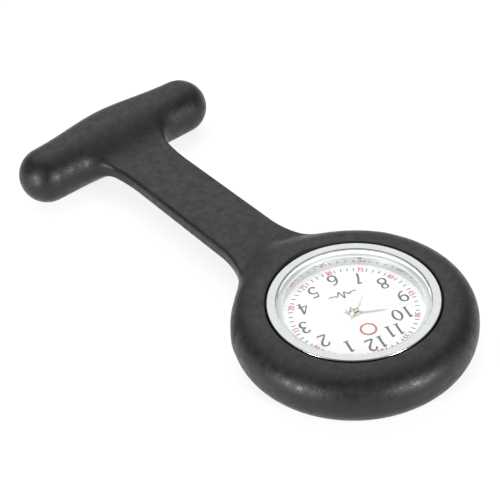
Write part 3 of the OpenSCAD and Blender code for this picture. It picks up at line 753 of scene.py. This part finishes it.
# the hands stand at 9:36; tips, tails and heights in mm, turn in hours round the dial
minutesPast = 36.4
hands = {
    "hourBlade": {"tip": 5.8, "tail": 1.5, "wide": 1.2, "boss": 1.05, "low": 6.64, "high": 6.76,
                  "turn": 9 + minutesPast / 60, "body": "hours", "node": "hour_hand"},
    "minuteBlade": {"tip": 9.4, "tail": 1.6, "wide": 0.95, "boss": 0.75, "low": 6.96, "high": 7.06,
                    "turn": minutesPast / 5, "body": "minutes", "node": "minute_hand"},
}
blade = {"widest": 1.35, "share": 0.96, "tailHalf": 0.2, "edge": 0.04, "ridgeEnd": 0.25,
         "bore": 0.3, "bossProud": 0.05, "bossEdge": 0.08}


def makeHand(name, size):
    # a slim blade with a ridge along its middle, and a turned boss
    low, high, tip, tail = size["low"], size["high"], size["tip"], -size["tail"]
    widest, half, tailHalf = blade["widest"], size["wide"] / 2 * blade["share"], blade["tailHalf"]
    shape = bmesh.new()
    spots = [(0, tip), (half, widest), (tailHalf, tail), (-tailHalf, tail), (-half, widest)]
    under = [shape.verts.new(Vector((x, y, low)) * mm) for x, y in spots]
    over = [shape.verts.new(Vector((x, y, low + blade["edge"])) * mm) for x, y in spots]
    ridge = [shape.verts.new(Vector((0, y, high)) * mm) for y in (widest, tail + blade["ridgeEnd"])]
    shape.faces.new(under)
    for first in range(5):
        second = (first + 1) % 5
        shape.faces.new((under[second], under[first], over[first], over[second]))
    shape.faces.new((over[0], ridge[0], over[1]))
    shape.faces.new((over[0], over[4], ridge[0]))
    shape.faces.new((over[1], ridge[0], ridge[1], over[2]))
    shape.faces.new((over[4], over[3], ridge[1], ridge[0]))
    shape.faces.new((over[2], ridge[1], over[3]))
    bmesh.ops.recalc_face_normals(shape, faces=list(shape.faces))
    bore, boss, top = blade["bore"], size["boss"], high + blade["bossProud"]
    section = outline([(bore, low), (boss, low), (boss, top), (bore, top)], {2: blade["bossEdge"]}, 4)
    join(shape, spun(section, 48))
    turn = Matrix.Rotation(clockWay(size["turn"]) - math.pi / 2, 3, "Z")
    bmesh.ops.rotate(shape, cent=(0, 0, 0), matrix=turn, verts=list(shape.verts))
    newPiece(name, shape, "hands", size["body"], size["node"])


bush = {"bore": 0.3, "out": 0.62, "low": 7.1, "rim": 7.18, "top": 7.2, "edge": 0.04}


def makeBush():
    # brass bush that the minute hand is pressed on
    bore, out = bush["bore"], bush["out"]
    shape = outline([(bore, bush["low"]), (out, bush["low"]), (out, bush["rim"]), (bore, bush["top"])],
                    {2: bush["edge"]}, 3)
    smoothEdges(newPiece("handBush", spun(shape, 48), "brass", "minutes"), 35)


makeBush()
for name, size in hands.items():
    makeHand(name, size)
print("hands made")

# azimuth is round from the -Y side, in degrees; distance and target in mm
camera = {"azimuth": -35.81, "elevation": 40.32, "roll": -4.78, "distance": 272.9,
          "target": (1.94, 27.9, 0.0), "lens": 120.66, "sensor": 36, "near": 0.01, "far": 20}


def makeCamera():
    turn, lift, roll = (math.radians(camera[key]) for key in ("azimuth", "elevation", "roll"))
    back = Vector((math.sin(turn) * math.cos(lift), -math.cos(turn) * math.cos(lift), math.sin(lift)))
    right = (-back).cross(Vector((0, 0, 1))).normalized()
    up = right.cross(-back)
    side = math.cos(roll) * right + math.sin(roll) * up
    top = math.cos(roll) * up - math.sin(roll) * right
    place = Matrix((side, top, back)).transposed().to_4x4()
    place.translation = (Vector(camera["target"]) + back * camera["distance"]) * mm
    data = bpy.data.cameras.new("camera")
    data.lens = camera["lens"]
    data.sensor_width = camera["sensor"]
    data.clip_start = camera["near"]
    data.clip_end = camera["far"]
    made = bpy.data.objects.new("camera", data)
    made.matrix_world = place
    bpy.context.scene.collection.objects.link(made)
    bpy.context.scene.camera = made


# places and sizes in mm, power in watts
lights = {
    "sky": {"at": (150, 250, 380), "aim": (0, 20, 0), "wide": 700, "tall": 620, "power": 1.8},
    "left": {"at": (-420, -10, 100), "aim": (-14, 62, 5), "wide": 90, "tall": 70, "power": 1.7},
    "front": {"at": (60, -420, 115), "aim": (-10, 60, 5), "wide": 90, "tall": 70, "power": 1.65},
}
air = {"colour": (0.95, 0.97, 1.0, 1), "strength": 0.25}


def makeLights():
    for name, light in lights.items():
        data = bpy.data.lights.new(name, "AREA")
        data.shape = "RECTANGLE"
        data.size = light["wide"] * mm
        data.size_y = light["tall"] * mm
        data.energy = light["power"]
        made = bpy.data.objects.new(name, data)
        made.location = Vector(light["at"]) * mm
        aim = (Vector(light["aim"]) - Vector(light["at"])).normalized()
        made.rotation_euler = aim.to_track_quat("-Z", "Y").to_euler()
        bpy.context.scene.collection.objects.link(made)
    world = bpy.data.worlds.new("studio")
    world.use_nodes = True
    background = world.node_tree.nodes["Background"]
    background.inputs["Color"].default_value = air["colour"]
    background.inputs["Strength"].default_value = air["strength"]
    bpy.context.scene.world = world


# half width in metres, how far below the object in mm, and how much it reflects and glows
floor = {"half": 3.0, "drop": 0.02, "paper": (0.3, 0.3, 0.3, 1), "glow": 0.8}


def floorSurface(start):
    # plain white paper that stays white in its own shadows
    paper = start.add("BsdfDiffuse", {}, {"Color": floor["paper"]})
    glow = start.add("Emission", {}, {"Color": (1, 1, 1, 1), "Strength": floor["glow"]})
    return start.add("AddShader", {}, {0: paper, 1: glow})


def makeFloor():
    shape = bmesh.new()
    bmesh.ops.create_grid(shape, x_segments=8, y_segments=8, size=floor["half"])
    bmesh.ops.translate(shape, vec=(0, 0, -floor["drop"] * mm), verts=list(shape.verts))
    mesh = bpy.data.meshes.new("floor")
    shape.to_mesh(mesh)
    shape.free()
    made = bpy.data.objects.new("floor", mesh)
    bpy.context.scene.collection.objects.link(made)
    mesh.materials.append(makeLook("floorWhite", floorSurface))


makeCamera()
makeLights()
makeFloor()
bpy.context.scene.view_settings.view_transform = "Standard"
print("camera, lights and floor made")
